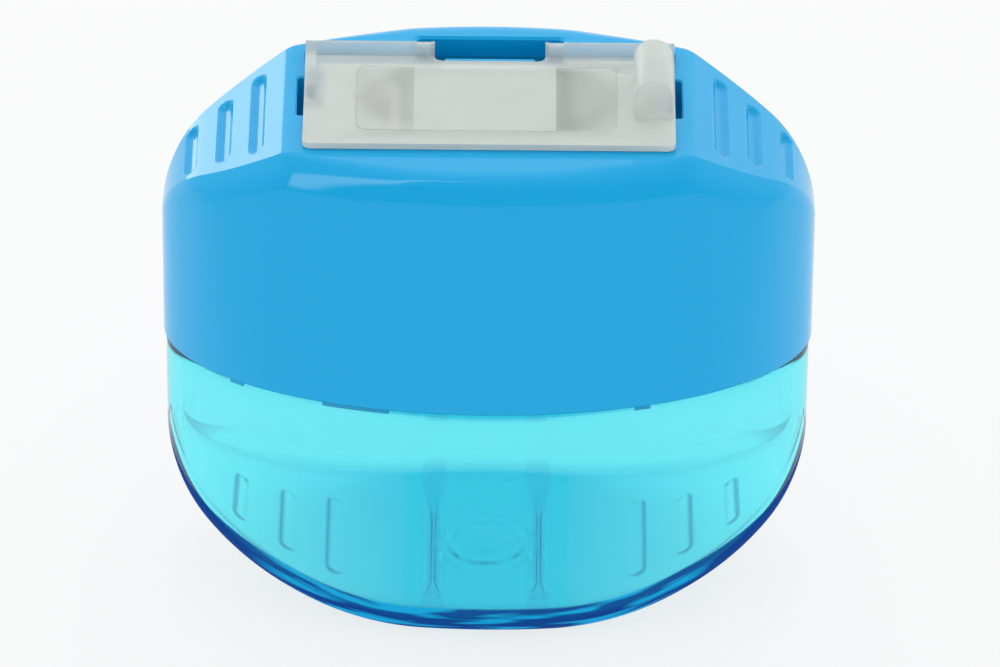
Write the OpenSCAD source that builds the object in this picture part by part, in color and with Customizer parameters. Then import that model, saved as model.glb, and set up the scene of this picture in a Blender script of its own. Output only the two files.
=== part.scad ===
// Two-hole pencil sharpener with a shavings container and a flap lid, for left-handed use.
// Millimetres, +Z up, front at -Y. The origin is the middle of the footprint, on the table.

/* [Body] */
// Overall width of the oval body
body_width = 65; // [62:0.5:76]
// Overall depth of the oval body
body_depth = 31.5; // [30.5:0.5:38]
// Height of the flat top above the table
body_height = 55.2; // [54:0.2:64]
// Height of the seam between container and upper shell
seam_height = 28; // [26:0.2:29]
// Rounding of the wall into the flat top, measured along the width
edge_radius = 5; // [3.4:0.1:5.2]
// Rounding of the wall into the underside, measured along the width
keel_edge_radius = 4; // [3:0.1:5]
// The same roundings inside the walls
inner_edge_radius = 3.2; // [2.8:0.1:3.6]
// Wall of the upper shell
shell_wall = 1.6; // [1.4:0.1:1.8]
// Thickness of the flat top
top_wall = 2.2; // [1.8:0.1:2.6]
// Wall and floor of the container
container_wall = 1.5; // [1.2:0.1:1.6]
// Step by which the container stands back from the shell at the seam
container_step = 0.25; // [0.1:0.05:0.4]

/* [Rim] */
// Flat of the top beside each end of the lid, up to the crease
crest_margin = 1.6; // [1:0.05:3]
// Radius of the upper shoulder
shoulder_radius = 9.75; // [8:0.25:12]
// Depth of the upper shoulder's centre below the flat top
shoulder_drop = 13.2; // [11.6:0.1:15]
// Width of the flat of the underside
keel_width = 13.2; // [13:0.2:15]
// Radius of the wide arc beside the flat of the underside
keel_radius = 32; // [30:0.5:34]
// Radius of the lower shoulder
bilge_radius = 12.4; // [10:0.2:13]

/* [Grip grooves] */
// Distance of the first upper groove from the crease of the flat top
upper_groove_offset = 3; // [2.4:0.1:4]
// Distance of the first lower groove from the flat of the underside
lower_groove_offset = 8.8; // [8:0.1:9.4]
// Distance from one upper groove to the next
upper_groove_pitch = 3.3; // [2.6:0.1:3.5]
// Distance from one lower groove to the next
lower_groove_pitch = 4.9; // [4:0.1:5.2]
// Radius of a groove
groove_radius = 0.95; // [0.6:0.05:1.1]
// Depth of a groove
groove_depth = 0.5; // [0.3:0.05:0.6]
// Length of the three grooves of a set, from the crest outwards
groove_lengths = [13.6, 10.6, 8];

/* [Seam] */
// Height of the lip that locates the shell on the container
lip_height = 3; // [2:0.1:4]
// Share of the shell wall outside the lip
lap_wall = 0.8; // [0.6:0.05:0.9]
// Gap round the lip
lip_clearance = 0.15; // [0.1:0.01:0.2]
// Open line left at the seam
seam_gap = 0.1; // [0.05:0.01:0.2]
// Depth that the catch tabs reach below the seam
tab_drop = 1.2; // [0.8:0.1:2]
// Thickness of a catch tab
tab_thickness = 1.1; // [0.8:0.1:1.4]
// Middle of each catch tab, across the front
tab_centres = [-24.6, -12.9, 15.3];
// Width of each catch tab
tab_widths = [1.4, 6.6, 1.6];

/* [Container floor] */
// Height of the two foot rails
foot_height = 0.6; // [0.4:0.1:1]
// Width of a foot rail
foot_width = 1.9; // [1.5:0.1:2.5]
// Length of a foot rail
foot_length = 20; // [16:0.5:23]
// Distance of a foot rail from the middle
foot_x = 5.3; // [4.9:0.1:8]
// Diameter of the domed gate mark in the floor
gate_diameter = 7.8; // [6:0.2:8]
// Height of the dome above the floor
gate_rise = 0.9; // [0.5:0.1:1.2]

/* [Sharpener block] */
// Width of the twin-hole block
block_width = 29.6; // [29.4:0.1:29.8]
// Depth of the twin-hole block
block_depth = 12.2; // [12:0.1:12.6]
// Length of the twin-hole block along the pencils
block_length = 26; // [25:0.5:26.5]
// Depth of the block's end face below the flat top
block_sink = 1.3; // [1.2:0.1:1.6]
// Place of both pencil holes in depth
hole_y = -1; // [-1.1:0.1:-0.9]
// Distance of the standard hole's axis from the block's left side
standard_edge = 5.8; // [5.6:0.1:5.9]
// Bore radius of the standard hole
standard_bore_r = 4.1; // [3.8:0.05:4.2]
// Bore radius of the jumbo hole
jumbo_bore_r = 5.6; // [5.3:0.05:5.65]
// Half of the point angle of the standard hole
standard_point = 11.5; // [11:0.25:12]
// Half of the point angle of the jumbo hole
jumbo_point = 13; // [12.75:0.25:14]
// Radius where each cone leaves the block
tip_r = 0.6; // [0.5:0.05:0.7]
// Chamfer round each pencil hole
hole_chamfer = 0.3; // [0.2:0.05:0.35]
// Depth by which the blade seat cuts into the cone
seat_inset = 0.15; // [0.1:0.05:0.25]

/* [Blades and screws] */
// Length of a blade
blade_length = 20.5; // [19:0.5:21]
// Width of a blade
blade_width = 7.8; // [7.4:0.1:7.8]
// Thickness of a blade
blade_thickness = 0.9; // [0.6:0.05:0.9]
// Width of the ground bevel
blade_bevel = 1.6; // [1:0.1:2]
// Width of the throat that lets the shaving out
throat_width = 3; // [2:0.1:3.4]
// Distance of the screw from the cutting edge
screw_x = 4.7; // [4.6:0.1:4.9]
// Distance of the screw from the block's lower end, along the blade
screw_z = 10; // [9:0.5:10.5]
// Width of the slot for the screwdriver
driver_slot = 0.7; // [0.5:0.05:0.9]
// Radius of the screw shank
screw_r = 1.2; // [1:0.05:1.25]
// Length of the shank under the blade
screw_length = 4; // [3:0.5:4.5]
// Radius of the screw head
screw_head_r = 2.6; // [2.2:0.1:2.8]
// Height of the screw head
screw_head_h = 1.1; // [0.9:0.1:1.3]
// Gap round the screw shank
screw_clearance = 0.1; // [0.05:0.01:0.15]

/* [Block holder] */
// Wall of the socket that grips the block
socket_wall = 0.9; // [0.8:0.05:0.9]
// Length of the socket below the flat top
socket_length = 4.4; // [3.6:0.1:4.6]
// Gap between block and socket
socket_clearance = 0.1; // [0.05:0.01:0.12]
// Overhang of the flange at both sides and in front
flange_overhang = 0.5; // [0.4:0.05:0.55]
// Thickness of the flange
flange_thickness = 1; // [0.8:0.1:1.2]
// Width of the two ledges that stop the block
stop_width = 0.6; // [0.4:0.1:0.7]
// Gap between holder and shell
holder_clearance = 0.1; // [0.05:0.01:0.12]
// Depth of the flange's face below the flat top
flange_sink = 0.15; // [0.1:0.05:0.3]

/* [Flap lid] */
// Thickness of the lid plate
lid_thickness = 0.65; // [0.6:0.05:0.9]
// Gap between lid plate and flat top
lid_gap = 0.15; // [0.1:0.01:0.25]
// Reach of the lid in front of the holder's flange
lid_overhang = 0.6; // [0.4:0.05:1.4]
// Distance of the hinge axis behind the holder
hinge_setback = 1.65; // [1.55:0.05:1.75]
// Height of the hinge axis above the flat top
hinge_rise = 0.65; // [0.6:0.05:0.75]
// Radius of the hinge barrel
barrel_r = 1.05; // [1:0.05:1.1]
// Gap between the hinge barrel and its trough in the flat top
trough_clearance = 0.15; // [0.1:0.05:0.2]
// Half width of the notch in the lid's rear edge
notch_half = 5.5; // [5.4:0.05:5.6]
// Depth of the notch in front of the hinge axis
notch_depth = 1.8; // [1.6:0.05:2]
// Radius of the hinge pin between cheek and barrel
pin_r = 0.42; // [0.4:0.01:0.44]
// Running clearance of the hinge pin
pin_clearance = 0.05; // [0.03:0.01:0.08]
// Thickness of the lid cheek inside the knuckle
cheek_thickness = 0.35; // [0.3:0.05:0.4]
// Gap between a knuckle and the hood of the lid over it
hood_clearance = 0.08; // [0.06:0.01:0.1]
// Step from the barrel down to the hood
hood_step = 0.05; // [0.02:0.01:0.08]
// Angle that the hood reaches behind the top of a knuckle
hood_angle = 25; // [10:5:25]
// Reach of the closing pad past the outer sides of the two holes
pad_overlap = 0.1; // [0:0.05:0.4]
// Gap between the closing pad and the socket, in front and behind
pad_clearance = 0.4; // [0.3:0.05:0.6]
// Drop of the closing pad
pad_drop = 0.5; // [0.3:0.05:0.55]
// Distance of the thicker middle panel's left edge from the standard hole's axis
panel_left_inset = 1.5; // [1:0.1:2]
// Distance of the thicker middle panel's right edge from the jumbo hole's axis
panel_right_inset = 0.4; // [0:0.1:1]
// Further drop of the middle panel
panel_drop = 0.3; // [0.1:0.05:0.35]
// Width of the thumb ridge
ridge_width = 3.8; // [3:0.1:4.2]
// Height of the thumb ridge above the plate
ridge_height = 4.55; // [3:0.05:5]
// Gap from the thumb ridge to the lid's right edge
ridge_margin = 0.25; // [0.1:0.05:0.6]
// Length of the thumb ridge
ridge_length = 7.8; // [6:0.1:9]
// Distance of the thumb ridge's rear end from the hinge axis
ridge_setback = 4.55; // [3:0.05:5]
// Width of the raised corner rib at the left
rib_width = 1.1; // [0.8:0.1:1.5]
// Length of the raised corner rib, from the hinge axis
rib_length = 5.15; // [3:0.05:6]
// Width of a side hook
hook_width = 0.9; // [0.7:0.05:1]
// Length of a side hook along the depth
hook_length = 2.5; // [2:0.1:3]
// Depth that a side hook reaches below the flat top
hook_drop = 2.4; // [1.8:0.1:2.8]
// Gap between a side hook and the inner end of its slot
hook_gap = 0.3; // [0.2:0.05:0.5]
// Reach of the lid past each hook
hook_margin = 0.2; // [0.1:0.05:0.8]

/* [Lid seat in the shell] */
// Land between the flange and a side slot
slot_land = 0.5; // [0.4:0.05:0.6]
// Width of a side slot
slot_width = 2.1; // [2:0.05:2.3]
// Length of a side slot
slot_length = 6.9; // [6:0.1:8]
// Distance of a side slot's rear end from the hinge axis
slot_setback = 3.75; // [3.4:0.05:4.2]
// Half width of the rear recess
recess_half = 7.35; // [7.3:0.05:7.5]
// Reach of the rear recess behind the hinge axis
recess_reach = 3.75; // [3:0.05:3.8]
// Wall between the holder's opening and the slits beside the tongue
slit_wall = 0.45; // [0.4:0.05:0.6]
// Depth of the rear recess
recess_depth = 3.2; // [2.8:0.1:3.6]
// Wall round the rear recess
recess_wall = 1.2; // [1:0.1:1.3]
// Half width of the tongue in front of the recess
tongue_half = 4.5; // [4:0.1:4.8]
// Reach of the tongue behind the hinge axis
tongue_reach = 0.05; // [0:0.05:0.4]
// Gap at each side of a hinge knuckle
knuckle_gap = 0.15; // [0.1:0.01:0.2]
// Outer radius of a hinge knuckle
knuckle_r = 0.72; // [0.7:0.01:0.74]
// Thickness of a hinge knuckle's post
knuckle_post = 0.8; // [0.7:0.05:0.85]

/* [Hidden] */
$fn = 96;

// Overlap that makes two solids of one piece join, and a cut pass through its face
bite = 0.4;

half_width = body_width / 2;
half_depth = body_depth / 2;
top_z = body_height;
crown_height = top_z - seam_height - seam_gap;
hull_height = seam_height - foot_height;

// Insets of the walls at the seam, measured inwards from the shell's outer face
lip_outer_inset = lap_wall + lip_clearance;
container_inset = container_step + container_wall;
tab_outer_inset = container_inset + lip_clearance;
tab_inner_inset = tab_outer_inset + tab_thickness;
tab_root_z = lip_height + 2 * lip_clearance;
tab_root_height = 2.6;

// Places of the block and of its two cones; the jumbo blade ends flush with the block's right side
block_top_z = top_z - block_sink;
block_bottom_z = block_top_z - block_length;
standard_x = standard_edge - block_width / 2;
jumbo_x = block_width / 2 - blade_width;
standard_cone_length = (standard_bore_r - tip_r) / tan(standard_point);
jumbo_cone_length = (jumbo_bore_r - tip_r) / tan(jumbo_point);
blade_start = 0.6;
seat_length = blade_start + blade_length + blade_start;

// Sizes of the socket and its flange
socket_half_x = block_width / 2 + socket_clearance;
socket_half_y = block_depth / 2 + socket_clearance;
holder_half_x = socket_half_x + socket_wall;
holder_half_y = socket_half_y + socket_wall;
holder_rear = hole_y + holder_half_y;
flange_front = hole_y - holder_half_y - flange_overhang;
hinge_y = holder_rear + hinge_setback;

// Side slots, rear recess and tongue, placed from the flange and the hinge axis
slot_inner = holder_half_x + flange_overhang + holder_clearance + slot_land;
slot_outer = slot_inner + slot_width;
slot_rear = hinge_y - slot_setback;
slot_front = slot_rear - slot_length;
recess_front = holder_rear + holder_clearance + slit_wall;
recess_rear = hinge_y + recess_reach;
tongue_rear = hinge_y + tongue_reach;

// Outline of the lid, and the creases beside it
lid_half = slot_inner + hook_gap + hook_width + hook_margin;
lid_front = flange_front - lid_overhang;
crest_half = lid_half + crest_margin;

// Outline of the closing pad under the lid
pad_left = standard_x - standard_bore_r - pad_overlap;
pad_right = jumbo_x + jumbo_bore_r + pad_overlap;
pad_front = hole_y - socket_half_y + pad_clearance;
pad_rear = hole_y + socket_half_y - pad_clearance;
panel_left = standard_x + panel_left_inset;
panel_right = jumbo_x - panel_right_inset;

// Places of the hinge
lid_bottom_z = top_z + lid_gap;
lid_top_z = lid_bottom_z + lid_thickness;
hinge_z = top_z + hinge_rise;
cheek_end = notch_half + cheek_thickness;
knuckle_inner = cheek_end + knuckle_gap;
knuckle_outer = recess_half - knuckle_gap;
barrel_start = knuckle_outer + knuckle_gap;
hood_r = knuckle_r + hood_clearance;
hood_outer_r = barrel_r - hood_step;

shell_blue = "#1f9ad9";
container_cyan = "#35c6ea";
lid_milky = "#dfe3dd";
holder_white = "#f2f2ee";
block_grey = "#c3c6c8";
blade_steel = "#8d9298";
screw_nickel = "#b7babf";

// Upright oval cylinder from z0 to z1, inset from the body's outer face
module oval(inset, z0, z1) {
    w = half_width - inset;
    d = half_depth - inset;
    translate([0, 0, z0])
        scale([1, d / w, 1])
            cylinder(r = w, h = z1 - z0);
}

// Oval drum from -drop to height, with its upper edge rounded by edge_r
module oval_drum(inset, drop, height, edge_r) {
    w = half_width - inset;
    d = half_depth - inset;
    scale([1, d / w, 1])
        rotate_extrude() {
            translate([0, -drop])
                square([w, height + drop - edge_r]);
            translate([0, -drop])
                square([w - edge_r, height + drop]);
            translate([w - edge_r, height - edge_r])
                circle(r = edge_r);
        }
}

// Tangent point on the arc of radius r at c, for a line that starts at p inside and above it
function tangent_point(c, r, p) =
    let (
        dx = p[0] - c[0],
        dz = p[1] - c[1],
        angle = atan2(dz, dx) - acos(r / norm([dx, dz]))
    )
    [c[0] + r * cos(angle), c[1] + r * sin(angle)];

// Slope of the rim beside the crease, in degrees
function rim_slope(c, r, p) =
    let (t = tangent_point(c, r, p))
    atan2(p[1] - t[1], t[0] - p[0]);

// Height of the rim over the seam, at the distance x from the middle
function rim_height(c, r, p, x) =
    let (t = tangent_point(c, r, p))
    x < t[0]
        ? p[1] - (x - p[0]) * (p[1] - t[1]) / (t[0] - p[0])
        : c[1] + sqrt(r * r - pow(x - c[0], 2));

// Centre of the small arc of radius r that touches the straight side at w and, from inside, the
// wide arc of radius big that ends the flat
function bilge_centre(w, height, flat, big, r) =
    [w - r, height - big + sqrt(pow(big - r, 2) - pow(w - r - flat, 2))];

// Distance from the middle at which the tangent between the two arcs meets the flat's level
function keel_corner(w, height, flat, big, r) =
    let (c = bilge_centre(w, height, flat, big, r))
    flat + big * tan(atan2(c[0] - flat, c[1] - height + big) / 2);

// Height of the wide arc over the seam, at the distance x from the middle
function keel_height(height, flat, big, x) = height - big + sqrt(big * big - pow(x - flat, 2));

// One half of the front outline: flat crest, sloping rim, round shoulder, straight side
module half_outline(w, drop, c, r, p) {
    t = tangent_point(c, r, p);
    polygon([[0, -drop], [w, -drop], [w, c[1]], c, t, p, [0, p[1]]]);
    translate(c)
        circle(r = r);
}

// Oval body half that stands on the seam: the drum, cut by the front outline along the depth
module pod(inset, drop, height, crest, r, straight, edge_r) {
    w = half_width - inset;
    c = [w - r, straight];
    p = [crest, height];
    intersection() {
        oval_drum(inset, drop, height, edge_r);
        rotate([90, 0, 0])
            linear_extrude(height = body_depth + 2 * bite, center = true) {
                half_outline(w, drop, c, r, p);
                mirror([1, 0])
                    half_outline(w, drop, c, r, p);
            }
    }
}

// The container's body half: a pod whose flat runs out in two wide arcs
module keel_pod(inset, drop, height, wall, edge_r) {
    w = half_width - inset;
    flat = keel_width / 2;
    big = keel_radius - wall;
    r = bilge_radius - wall;
    intersection() {
        pod(
            inset, drop, height, keel_corner(w, height, flat, big, r), r,
            bilge_centre(w, height, flat, big, r)[1], edge_r
        );
        rotate([90, 0, 0])
            linear_extrude(height = body_depth + 2 * bite, center = true) {
                translate([-flat, -drop])
                    square([2 * flat, drop + height]);
                for (side = [-1, 1])
                    translate([side * flat, height - big])
                        circle(r = big, $fn = 240);
            }
    }
}

// Round-ended groove along the depth, sunk into a face that lies at [x, z]
module groove(x, z, length) {
    straight = length / 2 - groove_radius;
    translate([x, 0, z + groove_radius - groove_depth]) {
        rotate([90, 0, 0])
            cylinder(r = groove_radius, h = 2 * straight, center = true);
        for (end = [-1, 1])
            translate([0, end * straight, 0])
                sphere(r = groove_radius);
    }
}

// Six grooves, three at each side of the rim, whose heights are given from the first outwards
module groove_sets(first_x, pitch, heights) {
    for (side = [-1, 1], i = [0 : len(groove_lengths) - 1])
        groove(side * (first_x + i * pitch), heights[i], groove_lengths[i]);
}

// Upper shell: thin crown with the lid seat in its flat top
module upper_shell() {
    arc = [half_width - shoulder_radius, crown_height - shoulder_drop];
    crease = [crest_half, crown_height];
    slope = rim_slope(arc, shoulder_radius, crease);
    inner_crest = crest_half - shell_wall * tan(slope / 2);
    groove_start = crest_half + upper_groove_offset;
    color(shell_blue) {
        difference() {
            translate([0, 0, seam_height + seam_gap])
                difference() {
                    pod(0, 0, crown_height, crest_half, shoulder_radius, arc[1], edge_radius);
                    pod(
                        shell_wall, bite, crown_height - top_wall, inner_crest,
                        shoulder_radius - shell_wall, arc[1], inner_edge_radius
                    );
                    oval(lap_wall, -bite, lip_height + lip_clearance);
                    groove_sets(groove_start, upper_groove_pitch, [
                        for (i = [0 : len(groove_lengths) - 1])
                            rim_height(arc, shoulder_radius, crease, groove_start + i * upper_groove_pitch)
                    ]);
                }
            holder_opening();
            side_slots();
            barrel_trough();
            rear_recess(0);
        }
        difference() {
            intersection() {
                rear_recess(recess_wall);
                oval(shell_wall / 2, seam_height, top_z);
            }
            rear_recess(0);
            holder_opening();
        }
        for (side = [-1, 1])
            knuckle(side);
        catch_tabs();
    }
}

// Stepped opening for the block holder
module holder_opening() {
    c = holder_clearance;
    x = holder_half_x + c;
    y = holder_half_y + c;
    translate([-x, hole_y - y, top_z - socket_length - bite])
        cube([2 * x, 2 * y, socket_length + 2 * bite]);
    translate([-x - flange_overhang, hole_y - y - flange_overhang, top_z - flange_sink - flange_thickness])
        cube([2 * (x + flange_overhang), 2 * y + flange_overhang, flange_thickness + flange_sink + bite]);
}

// Slots beside the opening, for the lid's hooks
module side_slots() {
    for (side = [-1, 1])
        translate([side * (slot_inner + slot_outer) / 2, (slot_front + slot_rear) / 2, top_z - top_wall / 2])
            cube([slot_outer - slot_inner, slot_rear - slot_front, top_wall + 2 * bite], center = true);
}

// Troughs in the flat top that clear the turning barrels
module barrel_trough() {
    start = recess_half - bite;
    for (side = [-1, 1])
        translate([side * start, hinge_y, hinge_z])
            rotate([0, side * 90, 0])
                cylinder(r = barrel_r + trough_clearance, h = lid_half + trough_clearance - start);
}

// Pocket behind the lid, with its two slits beside the tongue; grow gives the walls round it
module rear_recess(grow) {
    depth = recess_depth + grow;
    rise = grow > 0 ? -top_wall / 2 : bite;
    translate([-recess_half - grow, tongue_rear - grow, top_z - depth])
        cube([2 * (recess_half + grow), recess_rear - tongue_rear + 2 * grow, depth + rise]);
    for (side = [-1, 1])
        translate([side * (tongue_half + recess_half) / 2, (recess_front + recess_rear) / 2, top_z - depth / 2 + rise / 2])
            cube(
                [recess_half - tongue_half + 2 * grow, recess_rear - recess_front + 2 * grow, depth + rise],
                center = true
            );
}

// Split ring on a post, which the lid's pin snaps into from above
module knuckle(side) {
    width = knuckle_outer - knuckle_inner;
    floor_z = top_z - recess_depth - bite;
    translate([side * (knuckle_inner + knuckle_outer) / 2, hinge_y, 0])
        difference() {
            union() {
                translate([0, 0, hinge_z])
                    rotate([0, 90, 0])
                        cylinder(r = knuckle_r, h = width, center = true);
                translate([-width / 2, -knuckle_post / 2, floor_z])
                    cube([width, knuckle_post, hinge_z - floor_z]);
            }
            translate([0, 0, hinge_z])
                rotate([0, 90, 0])
                    cylinder(r = pin_r + pin_clearance, h = width + 2 * bite, center = true);
        }
}

// Three small tabs inside the front wall, which reach past the seam into the container
module catch_tabs() {
    translate([0, 0, seam_height])
        intersection() {
            union() {
                difference() {
                    oval(tab_outer_inset, -tab_drop, tab_root_z + tab_root_height);
                    oval(tab_inner_inset, -tab_drop - bite, tab_root_z + tab_root_height + bite);
                }
                difference() {
                    oval(shell_wall / 2, tab_root_z, tab_root_z + tab_root_height);
                    oval(tab_inner_inset, tab_root_z - bite, tab_root_z + tab_root_height + bite);
                }
            }
            for (i = [0 : len(tab_centres) - 1])
                translate([tab_centres[i] - tab_widths[i] / 2, -half_depth, -tab_drop])
                    cube([tab_widths[i], half_depth, tab_drop + tab_root_z + tab_root_height]);
        }
}

// Shavings container: clear oval cup with a locating lip, two foot rails and a domed gate mark
module shavings_container() {
    groove_start = keel_width / 2 + lower_groove_offset;
    floor_z = foot_height + container_wall;
    color(container_cyan, 0.6) {
        difference() {
            union() {
                translate([0, 0, seam_height])
                    mirror([0, 0, 1])
                        keel_pod(container_step, 0, hull_height, 0, keel_edge_radius);
                oval(lip_outer_inset, seam_height - bite, seam_height + lip_height);
            }
            translate([0, 0, seam_height])
                mirror([0, 0, 1]) {
                    keel_pod(
                        container_inset, lip_height + bite, hull_height - container_wall,
                        container_wall, inner_edge_radius
                    );
                    groove_sets(groove_start, lower_groove_pitch, [
                        for (i = [0 : len(groove_lengths) - 1])
                            keel_height(
                                hull_height, keel_width / 2, keel_radius,
                                groove_start + i * lower_groove_pitch
                            )
                    ]);
                }
        }
        for (side = [-1, 1])
            translate([side * foot_x, 0, (foot_height + bite) / 2])
                cube([foot_width, foot_length, foot_height + bite], center = true);
        translate([0, 0, floor_z - bite])
            intersection() {
                cylinder(d = gate_diameter, h = gate_rise + bite);
                translate([0, 0, gate_rise + bite - gate_diameter])
                    sphere(r = gate_diameter);
            }
    }
}

// Flap lid: milky plate on a rear hinge, with closing pad, side hooks and thumb ridge
module flap_lid() {
    color(lid_milky) {
        difference() {
            translate([-lid_half, lid_front, lid_bottom_z])
                cube([2 * lid_half, hinge_y - lid_front, lid_thickness]);
            translate([-notch_half, hinge_y - notch_depth, lid_bottom_z - bite])
                cube([2 * notch_half, notch_depth + bite, lid_thickness + 2 * bite]);
            for (side = [-1, 1])
                translate([side * (cheek_end + barrel_start) / 2, hinge_y, hinge_z])
                    rotate([0, 90, 0])
                        cylinder(r = (hood_r + hood_outer_r) / 2, h = barrel_start - cheek_end, center = true);
        }
        for (side = [-1, 1])
            lid_barrel(side);
        translate([pad_left, pad_front, lid_bottom_z - pad_drop])
            cube([pad_right - pad_left, pad_rear - pad_front, pad_drop + bite]);
        translate([panel_left, pad_front, lid_bottom_z - pad_drop - panel_drop])
            cube([panel_right - panel_left, pad_rear - pad_front, pad_drop + panel_drop]);
        thumb_ridge();
        corner_rib();
        for (side = [-1, 1])
            side_hook(side);
    }
}

// Barrel, hinge pin and cheek of one side of the lid, with the thin hood over the knuckle
module lid_barrel(side) {
    translate([side * (notch_half + cheek_thickness / 2), hinge_y, hinge_z])
        mirror([side < 0 ? 1 : 0, 0, 0])
            rotate([90, 0, 90])
                linear_extrude(height = barrel_start + bite - notch_half - cheek_thickness / 2)
                    difference() {
                        circle(r = hood_outer_r);
                        circle(r = hood_r);
                        translate([-2 * barrel_r, lid_bottom_z - hinge_z - 2 * barrel_r])
                            square([4 * barrel_r, 2 * barrel_r]);
                        rotate(90 - hood_angle)
                            translate([-2 * barrel_r, -2 * barrel_r])
                                square([4 * barrel_r, 2 * barrel_r]);
                    }
    translate([0, hinge_y, hinge_z])
        rotate([0, side * 90, 0]) {
            translate([0, 0, notch_half])
                cylinder(r = barrel_r, h = cheek_thickness);
            translate([0, 0, notch_half])
                cylinder(r = pin_r, h = barrel_start + bite - notch_half);
            translate([0, 0, barrel_start])
                cylinder(r = barrel_r, h = lid_half - barrel_start);
        }
}

// Ridge with a round top at the right end of the lid, for the thumb
module thumb_ridge() {
    r = ridge_width / 2;
    translate([lid_half - ridge_margin - r, hinge_y - ridge_setback, lid_top_z - bite])
        rotate([90, 0, 0])
            linear_extrude(height = ridge_length) {
                translate([-r, 0])
                    square([ridge_width, ridge_height + bite - r]);
                translate([0, ridge_height + bite - r])
                    circle(r = r);
            }
}

// Low rib that runs from the barrel along the lid's left edge
module corner_rib() {
    top = hinge_z + barrel_r;
    front = hinge_y - rib_length;
    translate([-lid_half, 0, 0])
        rotate([90, 0, 90])
            linear_extrude(height = rib_width)
                polygon([
                    [front, lid_top_z - bite],
                    [hinge_y, lid_top_z - bite],
                    [hinge_y, top],
                    [hinge_y - barrel_r, top],
                    [front, lid_top_z]
                ]);
}

// Hook that drops into a side slot and holds the lid shut
module side_hook(side) {
    x = slot_inner + hook_gap + hook_width / 2;
    translate([side * x, (slot_front + slot_rear) / 2, (lid_bottom_z + bite + top_z - hook_drop) / 2])
        cube([hook_width, hook_length, lid_bottom_z + bite - top_z + hook_drop], center = true);
}

// White frame in the flat top, which grips the upper end of the block
module block_holder() {
    face_z = top_z - flange_sink;
    color(holder_white)
        difference() {
            union() {
                translate([-holder_half_x, hole_y - holder_half_y, top_z - socket_length])
                    cube([2 * holder_half_x, 2 * holder_half_y, face_z - top_z + socket_length]);
                translate([
                    -holder_half_x - flange_overhang,
                    hole_y - holder_half_y - flange_overhang,
                    face_z - flange_thickness
                ])
                    cube([
                        2 * (holder_half_x + flange_overhang),
                        2 * holder_half_y + flange_overhang,
                        flange_thickness
                    ]);
            }
            translate([-socket_half_x, hole_y - socket_half_y, top_z - socket_length - bite])
                cube([2 * socket_half_x, 2 * socket_half_y, block_top_z - top_z + socket_length + bite]);
            translate([-socket_half_x + stop_width, hole_y - socket_half_y, block_top_z - bite])
                cube([2 * (socket_half_x - stop_width), 2 * socket_half_y, face_z - block_top_z + 2 * bite]);
        }
}

// Places its children on the blade seat of one hole: origin at the cone's front line where it
// leaves the block, +Z up along that line, -Y out of the seat
module on_seat(x, point) {
    translate([x, hole_y - tip_r + seat_inset, block_bottom_z])
        rotate([point, 0, 0])
            children();
}

// Everything that one hole takes out of the block
module hole_cut(x, bore_r, point, cone_length, from_x, to_x) {
    translate([x, hole_y, block_bottom_z]) {
        cylinder(r1 = tip_r, r2 = bore_r, h = cone_length);
        translate([0, 0, cone_length])
            cylinder(r = bore_r, h = block_length - cone_length + bite);
        translate([0, 0, -bite])
            cylinder(r = tip_r, h = 2 * bite);
        translate([0, 0, block_length - hole_chamfer])
            cylinder(r1 = bore_r, r2 = bore_r + 2 * hole_chamfer, h = 2 * hole_chamfer);
    }
    on_seat(x, point) {
        translate([from_x - x, -block_depth, -bite - tip_r])
            cube([to_x - from_x, block_depth, seat_length + bite + tip_r]);
        translate([-throat_width, -bite, blade_start])
            cube([throat_width, bite + throat_width / 2, cone_length - 2 * blade_start]);
        translate([screw_x, -bite, screw_z])
            rotate([-90, 0, 0])
                cylinder(r = screw_r + screw_clearance, h = screw_length + 2 * bite);
    }
}

// Wedge block with the standard and the jumbo hole
module twin_hole_block() {
    half = block_width / 2;
    color(block_grey)
        difference() {
            translate([-half, hole_y - block_depth / 2, block_bottom_z])
                cube([block_width, block_depth, block_length]);
            hole_cut(standard_x, standard_bore_r, standard_point, standard_cone_length, -half - bite, 0);
            hole_cut(jumbo_x, jumbo_bore_r, jumbo_point, jumbo_cone_length, 0, half + bite);
        }
}

// Blade with its edge over the middle of the hole; the ground edge faces left, for left-handed turning
module blade(x, point) {
    color(blade_steel)
        on_seat(x, point)
            difference() {
                translate([0, 0, blade_start])
                    linear_extrude(height = blade_length)
                        polygon([
                            [0, 0],
                            [blade_width, 0],
                            [blade_width, -blade_thickness],
                            [blade_bevel, -blade_thickness]
                        ]);
                translate([screw_x, bite, screw_z])
                    rotate([90, 0, 0])
                        cylinder(r = screw_r + screw_clearance, h = blade_thickness + 2 * bite);
            }
}

// Cheese-head screw with a straight slot
module blade_screw(x, point) {
    color(screw_nickel)
        on_seat(x, point)
            translate([screw_x, 0, screw_z])
                rotate([90, 0, 0])
                    difference() {
                        union() {
                            translate([0, 0, -screw_length])
                                cylinder(r = screw_r, h = screw_length + blade_thickness);
                            translate([0, 0, blade_thickness])
                                cylinder(r = screw_head_r, h = screw_head_h);
                        }
                        translate([
                            -screw_head_r - bite,
                            -driver_slot / 2,
                            blade_thickness + screw_head_h / 2
                        ])
                            cube([2 * (screw_head_r + bite), driver_slot, screw_head_h]);
                    }
}

module standard_blade() {
    blade(standard_x, standard_point);
}

module jumbo_blade() {
    blade(jumbo_x, jumbo_point);
}

module standard_blade_screw() {
    blade_screw(standard_x, standard_point);
}

module jumbo_blade_screw() {
    blade_screw(jumbo_x, jumbo_point);
}

shavings_container();
upper_shell();
flap_lid();
block_holder();
twin_hole_block();
standard_blade();
jumbo_blade();
standard_blade_screw();
jumbo_blade_screw();
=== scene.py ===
from math import acos, atan2, cos, hypot, pi, radians, sin, sqrt

import bmesh
import bpy
from mathutils import Matrix, Vector


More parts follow.
